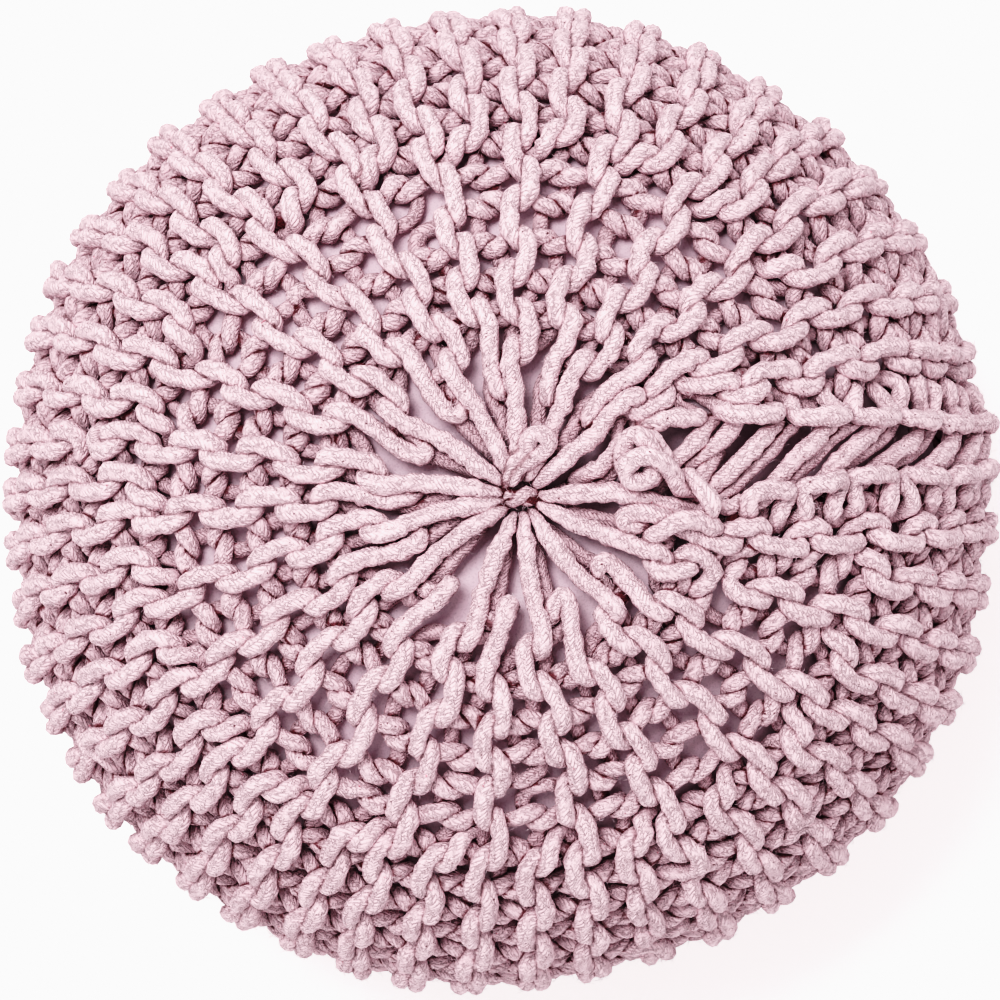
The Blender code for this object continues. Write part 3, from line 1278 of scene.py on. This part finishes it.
# The braid of the cord: strands of yarn in columns of chevrons, which sway and tremble.
BRAID_COLUMNS = 6
STRAND_PITCH = 0.0021
STRAND_LEAN = 1.05  # how many pitches a strand falls back over half a column
STRAND_POWER = 2.5  # more than 1 makes the hollows between strands narrow
STRAND_RELIEF = 0.00062
COLUMN_GROOVE = Ramp(0.10, 0.00, 0.00, 1.00)
HAIR_GRAIN, HAIR_DETAIL = 0.0008, 3.0
HAIR_RELIEF = 0.00034
Wobble = namedtuple("Wobble", "grain columns pitches")
SWAY = Wobble(0.0070, 2.0, 3.0)
TREMBLE = Wobble(0.0012, 0.8, 1.3)

DULL = Patches(0.0220, 2.0, 0.300, 0.700, 0.00, 0.15)
WORN = Patches(0.0040, 2.0, 0.300, 0.550, 0.35, 1.00)  # elsewhere the braid is worn flat
MOTTLED = Patches(0.0011, 3.0, 0.600, 0.350, 0.00, 0.20)
# Patches where the painted shade in the braid's hollows is darker.
PATCHY_HOLLOW_SHADE = Patches(0.0030, 2.0, 0.420, 0.620, 0.12, 0.55)
PITTED = Patches(0.0019, 3.0, 0.325, 0.270, 0.00, 0.85)
SPECKLED = Patches(0.0028, 1.0, 0.785, 0.810, 0.00, 0.60)
# Painted shade on cord that lies deep in the knitting.
DEEP_SHADE = 0.50
# Painted shade in the hollows between the braid's strands: a light share everywhere, and a dark
# one in patches and on deep cord.
HOLLOW_SHADE = Ramp(0.35, 1.00, 0.00, 0.36)
HOLLOW_DARK_SHADE = Ramp(0.60, 1.00, 0.00, 0.65)
# Painted shadow in the creases where strands touch, with a ragged edge.
CREASE_SHADE_RAGGED = 0.5
CREASE_SHADE_RAMP = Ramp(0.42, 0.95, 0.00, 1.00)
CREASE_SHADE_BY_DEPTH = Ramp(0.00, 0.50, 0.58, 1.00)  # how dark the painted shadow in a crease is, by how deep the crease lies


def cord_material():
    """Braided cotton cord.

    It has a UV map of metres along it and turns round it, and two attributes: deep is 1
    where a cord lies deep in the knitting, and the crease attribute is 1 where it touches
    another strand. Painted shade darkens deep cord and the hollows of its braid, and a
    painted shadow darkens the creases where strands touch.
    """
    shader = Shader("cord_cotton", roughness=0.95, sheen=0.04)
    uv = shader.node("ShaderNodeUVMap", {}, uv_map="cord").outputs[0]
    split = shader.node("ShaderNodeSeparateXYZ", {0: uv}).outputs
    sway = shader.noise(SWAY.grain) - 0.5
    tremble = shader.noise(TREMBLE.grain) - 0.5
    columns = Value(shader, split[1]) * BRAID_COLUMNS
    columns = columns + sway * SWAY.columns + tremble * TREMBLE.columns
    aside = columns.zigzag()
    pitches = Value(shader, split[0]) / STRAND_PITCH
    pitches = pitches + sway * SWAY.pitches + tremble * TREMBLE.pitches
    strand = (pitches + aside * (2 * STRAND_LEAN)).zigzag() * 2.0
    hollow = (strand**STRAND_POWER).at_least(aside.ramp(*COLUMN_GROOVE))
    hollow = hollow * shader.patches(WORN)
    hairs = shader.noise(HAIR_GRAIN, HAIR_DETAIL)
    height = hairs * HAIR_RELIEF - hollow * STRAND_RELIEF
    deep = shader.attribute("deep")
    ragged = (hairs - 0.5) * CREASE_SHADE_RAGGED
    crease_shade = (shader.attribute("crease_shade") + ragged).ramp(*CREASE_SHADE_RAMP)
    # Where the painted shade in the braid's hollows is darker: in patches, and on deep cord.
    patchy_shade = shader.patches(PATCHY_HOLLOW_SHADE).at_least(deep)
    colour = CORD_COLOUR
    # Mottling, pits and specks are the cord's own colour; deep cord, the braid's hollows and
    # creases where strands touch get painted shade.
    for share, tint in (
        (shader.patches(DULL).at_least(deep * DEEP_SHADE), CORD_SHADE_AND_MOTTLE_COLOUR),
        (hollow.ramp(*HOLLOW_SHADE), CORD_SHADE_AND_MOTTLE_COLOUR),
        (shader.patches(MOTTLED), CORD_SHADE_AND_MOTTLE_COLOUR),
        (hollow.ramp(*HOLLOW_DARK_SHADE) * patchy_shade, CORD_PIT_AND_SHADE_COLOUR),
        (crease_shade * deep.ramp(*CREASE_SHADE_BY_DEPTH), CORD_PIT_AND_SHADE_COLOUR),
        (shader.patches(PITTED), CORD_PIT_AND_SHADE_COLOUR),
        (shader.patches(SPECKLED), SPECK_COLOUR),
    ):
        colour = shader.mix(share, colour, tint)
    return shader.finish(colour, height)


FIBRE_TINTS = ((0.88, 0.70, 0.76), (0.74, 0.52, 0.60))
FIBRE_TINTED = Patches(0.0040, 2.0, 0.300, 0.700, 0.00, 1.00)
FIBRE_RELIEF = 0.0001


def fibre_material():
    """Single cotton fibres, of slightly different tints."""
    shader = Shader("cotton_fibre", roughness=0.8, sheen=0.3)
    tint = shader.patches(FIBRE_TINTED)
    return shader.finish(shader.mix(tint, *FIBRE_TINTS), tint * FIBRE_RELIEF)


CASING_TINTS = ((0.76, 0.58, 0.65), (0.68, 0.50, 0.58))
CASING_FOLD_SHADE_COLOUR = (0.24, 0.10, 0.14)
CASING_GAP_COLOUR = (0.40, 0.26, 0.32)
CASING_PATCHES = Patches(0.0200, 2.0, 0.350, 0.650, 0.00, 0.50)
CASING_WRINKLED = Patches(0.0400, 1.0, 0.450, 0.750, 0.00, 1.00)
WRINKLE = Ramp(0.045, 0.00, 0.00, 1.00)  # by how far the noise of the folds is off its middle
WRINKLE_SHADE = 0.22
THREAD_GAPS = Ramp(0.50, 0.35, 0.00, 0.25)
THREAD_GRAIN, THREAD_STRETCH = 0.0009, (1.0, 1.0, 0.35)
FOLD_GRAIN = 0.030
FOLD_RELIEF, WRINKLE_RELIEF, THREAD_RELIEF = 0.0040, -0.0006, 0.00012


def casing_material():
    """Plain-weave cotton, a little wrinkled and dusty, with painted shade in the wrinkles."""
    shader = Shader("casing_weave", roughness=0.85, sheen=0.2)
    threads = shader.noise(THREAD_GRAIN, place=shader.stretched(THREAD_STRETCH))
    folds = shader.noise(FOLD_GRAIN)
    wrinkle = abs(folds - 0.5).ramp(*WRINKLE) * shader.patches(CASING_WRINKLED)
    colour = shader.mix(shader.patches(CASING_PATCHES), *CASING_TINTS)
    # Painted shade in the grooves of the wrinkles.
    colour = shader.mix(wrinkle * WRINKLE_SHADE, colour, CASING_FOLD_SHADE_COLOUR)
    colour = shader.mix(threads.ramp(*THREAD_GAPS), colour, CASING_GAP_COLOUR)
    height = wrinkle * WRINKLE_RELIEF + folds * FOLD_RELIEF + threads * THREAD_RELIEF
    return shader.finish(colour, height)


PAPER_TINTS = ((0.93, 0.92, 0.925), (0.90, 0.89, 0.895))
PAPER_GLOW_COLOUR = (1.0, 0.98, 0.99)
PAPER_MOTTLED = Ramp(0.40, 0.60, 0.00, 0.30)
PAPER_GRAIN, PAPER_RELIEF = 0.0020, 0.00005


def floor_material():
    """Seamless studio paper, lit from behind."""
    shader = Shader("studio_paper", roughness=0.9)
    shader.surface.inputs["Emission Color"].default_value = opaque(PAPER_GLOW_COLOUR)
    shader.surface.inputs["Emission Strength"].default_value = FLOOR_GLOW
    grain = shader.noise(PAPER_GRAIN)
    colour = shader.mix(grain.ramp(*PAPER_MOTTLED), *PAPER_TINTS)
    return shader.finish(colour, grain * PAPER_RELIEF)


# ---- Stage -----------------------------------------------------------------------------

CAMERA_HEIGHT = 2.0
OUTLINE_LEVEL = 0.18  # height of the widest level, which fills the picture
PICTURE_HALF = 0.2516  # half the picture's width at that level

FLOOR_HALF = 4.0
FLOOR_GLOW = 0.35
SKY_STRENGTH = 0.70
KEY_PLACE = (-0.50, 0.60, 2.1)
KEY_AIM = (0.0, 0.0, 0.15)
KEY_SIZE = 0.8
KEY_POWER = 27.0
GAMMA = 0.75

# The picture's tone curve, which lifts the light tones and rolls off before white.
TONE_CURVE = table(
    "light shown",
    (0.00, 0.000),
    (0.05, 0.035),
    (0.14, 0.190),
    (0.28, 0.440),
    (0.48, 0.700),
    (0.65, 0.835),
    (0.78, 0.910),
    (0.90, 0.957),
    (1.00, 0.973),
)

# After that, green and blue are held back in the light tones, which keeps them pink.
PINK_CURVE = table(
    "light shown",
    (0.00, 0.000),
    (0.60, 0.600),
    (0.70, 0.690),
    (0.80, 0.768),
    (0.88, 0.830),
    (0.94, 0.920),
    (1.00, 1.000),
)


def make_camera():
    data = bpy.data.cameras.new("camera")
    data.sensor_width = 36.0
    data.lens = data.sensor_width * (CAMERA_HEIGHT - OUTLINE_LEVEL) / (2 * PICTURE_HALF)
    bpy.context.scene.camera = placed("camera", data, (0.0, 0.0, CAMERA_HEIGHT))


def make_floor():
    corners = np.array(((-1, -1, 0), (1, -1, 0), (1, 1, 0), (-1, 1, 0))) * FLOOR_HALF
    mesh_object("floor", corners, np.array([[0, 1, 2, 3]]), floor_material())


def make_key_light():
    data = bpy.data.lights.new("key", "AREA")
    data.size = KEY_SIZE
    data.energy = KEY_POWER
    way = Vector(KEY_AIM) - Vector(KEY_PLACE)
    placed("key", data, KEY_PLACE).rotation_euler = way.to_track_quat("-Z", "Y").to_euler()


def make_sky():
    world = bpy.data.worlds.new("studio")
    world.use_nodes = True
    background = world.node_tree.nodes["Background"]
    background.inputs["Strength"].default_value = SKY_STRENGTH
    background.inputs["Color"].default_value = (1.0, 1.0, 1.0, 1.0)
    bpy.context.scene.world = world


def set_tones():
    view = bpy.context.scene.view_settings
    view.view_transform = "Standard"
    view.gamma = GAMMA
    view.use_curve_mapping = True
    mapping = view.curve_mapping
    mapping.extend = "HORIZONTAL"
    green, blue, together = 1, 2, 3
    for channel, tones in ((green, PINK_CURVE), (blue, PINK_CURVE), (together, TONE_CURVE)):
        points = mapping.curves[channel].points
        for tone in tones[1:-1]:
            points.new(*tone)
        points[0].location = tones[0]
        points[-1].location = tones[-1]
    mapping.update()


# ---- Everything ------------------------------------------------------------------------

# The names of the pieces of the cover, by number.
KNIT_NAMES = ("knit_front", "knit_left", "knit_back", "knit_right", "knit_seam")


def declare(piece, node):
    """Attaches a piece to the root body and hides the solid of the CAD that it stands for."""
    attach(piece, "root")
    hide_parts(node)


def make_pieces():
    cords = knitted_cords() + seam_cords() + threaded(DRAWN_TABLES, DRAWN_PIECE)
    cords = Relaxer(cords).relaxed(ROUNDS, CORD_DIAMETER * SQUEEZED)
    crowd = Crowd(cords)
    material = cord_material()
    first = 0
    for number, name in enumerate((*KNIT_NAMES, "drawn_cord"), 1):
        own = [cord for cord in cords if cord.piece == number]
        piece = cord_object(name, own, crowd, first, material)
        if number == DRAWN_PIECE:
            declare(piece, "top_gather_cord")
        else:
            declare(piece, "knit_cover")
        first += sum(len(cord.points) for cord in own)
    fibres = fibre_object(cords, fibre_material())
    declare(fibres, "knit_cover")
    casing = casing_object(casing_material())
    declare(casing, "inner_casing")


def main():
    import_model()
    make_pieces()
    make_camera()
    make_floor()
    make_sky()
    make_key_light()
    set_tones()


main()
